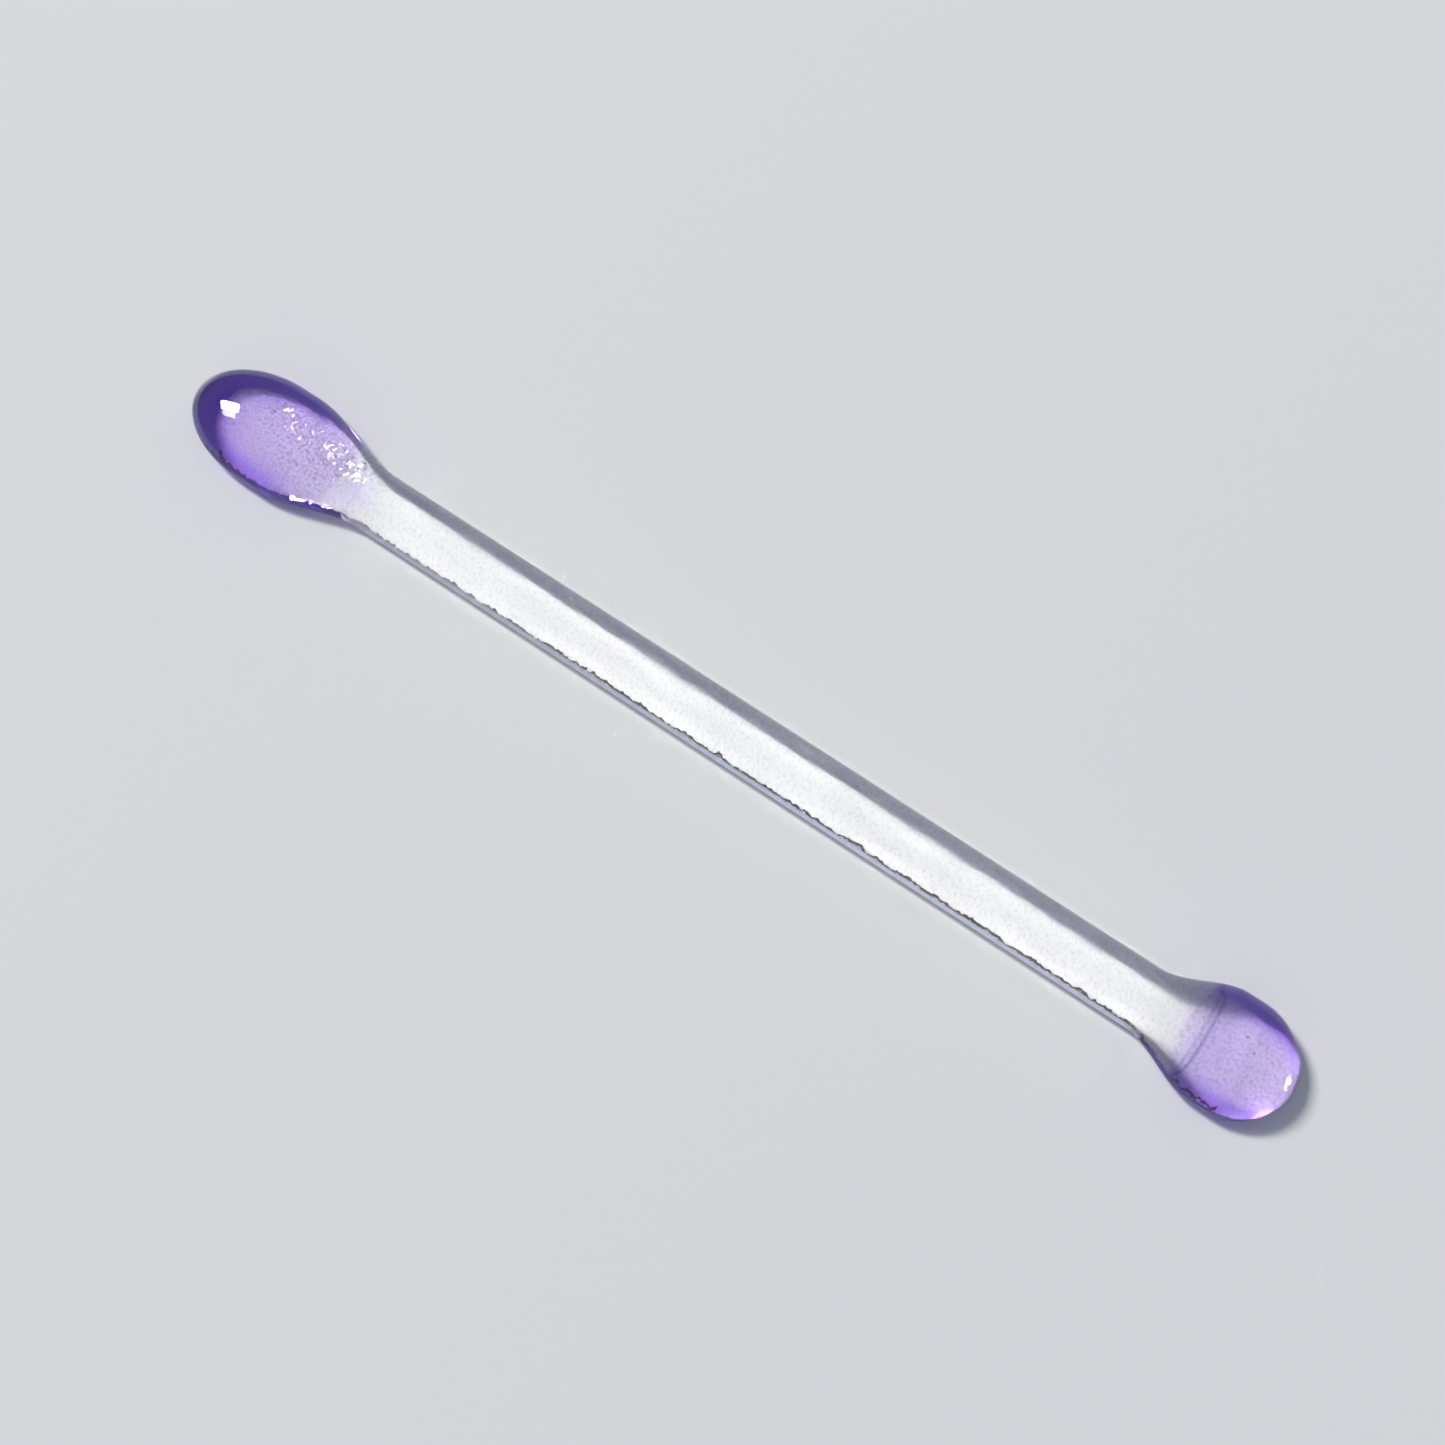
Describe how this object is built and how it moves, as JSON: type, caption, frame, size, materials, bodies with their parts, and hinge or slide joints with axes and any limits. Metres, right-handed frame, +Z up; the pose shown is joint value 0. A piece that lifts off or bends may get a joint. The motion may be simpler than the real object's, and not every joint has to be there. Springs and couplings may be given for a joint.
{
  "type": "glass stir stick",
  "caption": "Fused glass stir stick: a clear flat-backed shaft with a long purple paddle at one end and a round purple drop at the other.",
  "frame": {"origin": "under the middle of the length, on the flat underside", "axes": "+X along the length towards the round drop end, +Y across the width, +Z up out of the domed top"},
  "size_m": [0.16, 0.0146, 0.0056],
  "materials": {
    "clear_glass": "fire-polished on top and at the sides, finely pitted on the flat underside",
    "purple_glass": "fire-polished"
  },
  "bodies": {
    "root": {"clear_base_strip": "clear_glass", "purple_paddle_cap": "purple_glass", "purple_drop_cap": "purple_glass"}
  },
  "joints": []
}
